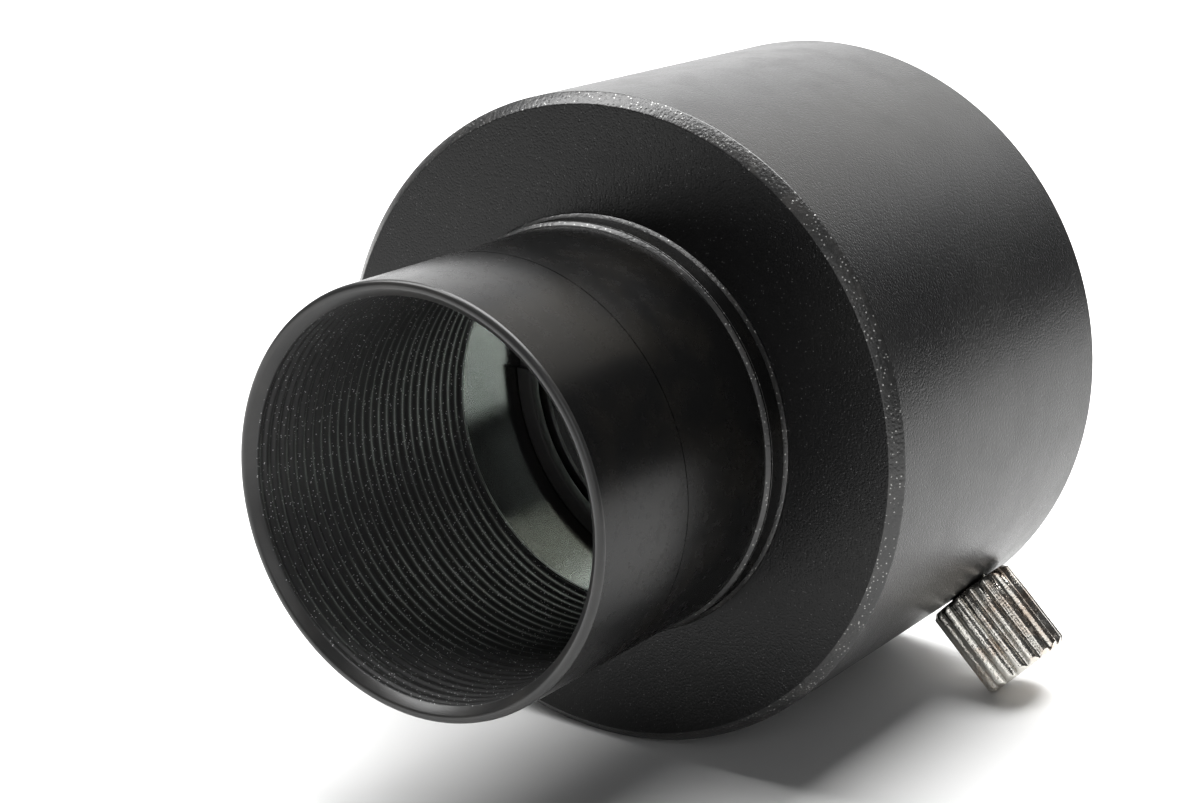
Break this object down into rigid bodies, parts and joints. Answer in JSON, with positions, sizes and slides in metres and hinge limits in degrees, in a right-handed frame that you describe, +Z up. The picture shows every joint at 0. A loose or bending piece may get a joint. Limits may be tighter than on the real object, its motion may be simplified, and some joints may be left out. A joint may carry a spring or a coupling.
{
  "type": "telescope eyepiece holder",
  "caption": "Black eyepiece holder with a slim baffled nosepiece, a fixed coated lens group and a wide socket where a fluted thumbscrew clamps the eyepiece.",
  "frame": {"origin": "on the optical axis, at the end of the nosepiece's plain wall, where its collar begins", "axes": "+Y along the optical axis towards the eye side, +Z up with the holder lying on its side, +X towards the side of the thumbscrew"},
  "size_m": [0.0404, 0.0445, 0.0394],
  "materials": {
    "body_black": "bead-blasted black anodised",
    "nose_black": "smooth satin black anodised",
    "cell_black": "matte black anodised",
    "coated_glass": "polished with a pale green coating",
    "nickel": "bright nickel plate over brass",
    "tip_nylon": "natural nylon"
  },
  "bodies": {
    "adapter": {"body_shell": "body_black", "nosepiece_barrel": "nose_black", "lens_cell": "cell_black", "front_lens": "coated_glass", "lens_spacer": "cell_black", "rear_lens": "coated_glass", "retaining_ring": "cell_black"},
    "screw_tip": {"screw_tip": "tip_nylon"},
    "thumbscrew": {"thumbscrew": "nickel"}
  },
  "joints": [
    {"name": "screw_travel", "type": "slide", "parent": "adapter", "child": "screw_tip", "axis": [0.7293, 0, -0.6841], "range_m": [-0.00009, 0.0025]},
    {"name": "screw_turn", "type": "hinge", "parent": "screw_tip", "child": "thumbscrew", "pos_m": [0, 0.0233, 0], "axis": [0.7293, 0, -0.6841], "range_deg": [-65.3, 1800.5]}
  ],
  "couplings": [
    {"joint": "screw_turn", "follows": "screw_travel", "rad_per_m": 12566}
  ]
}
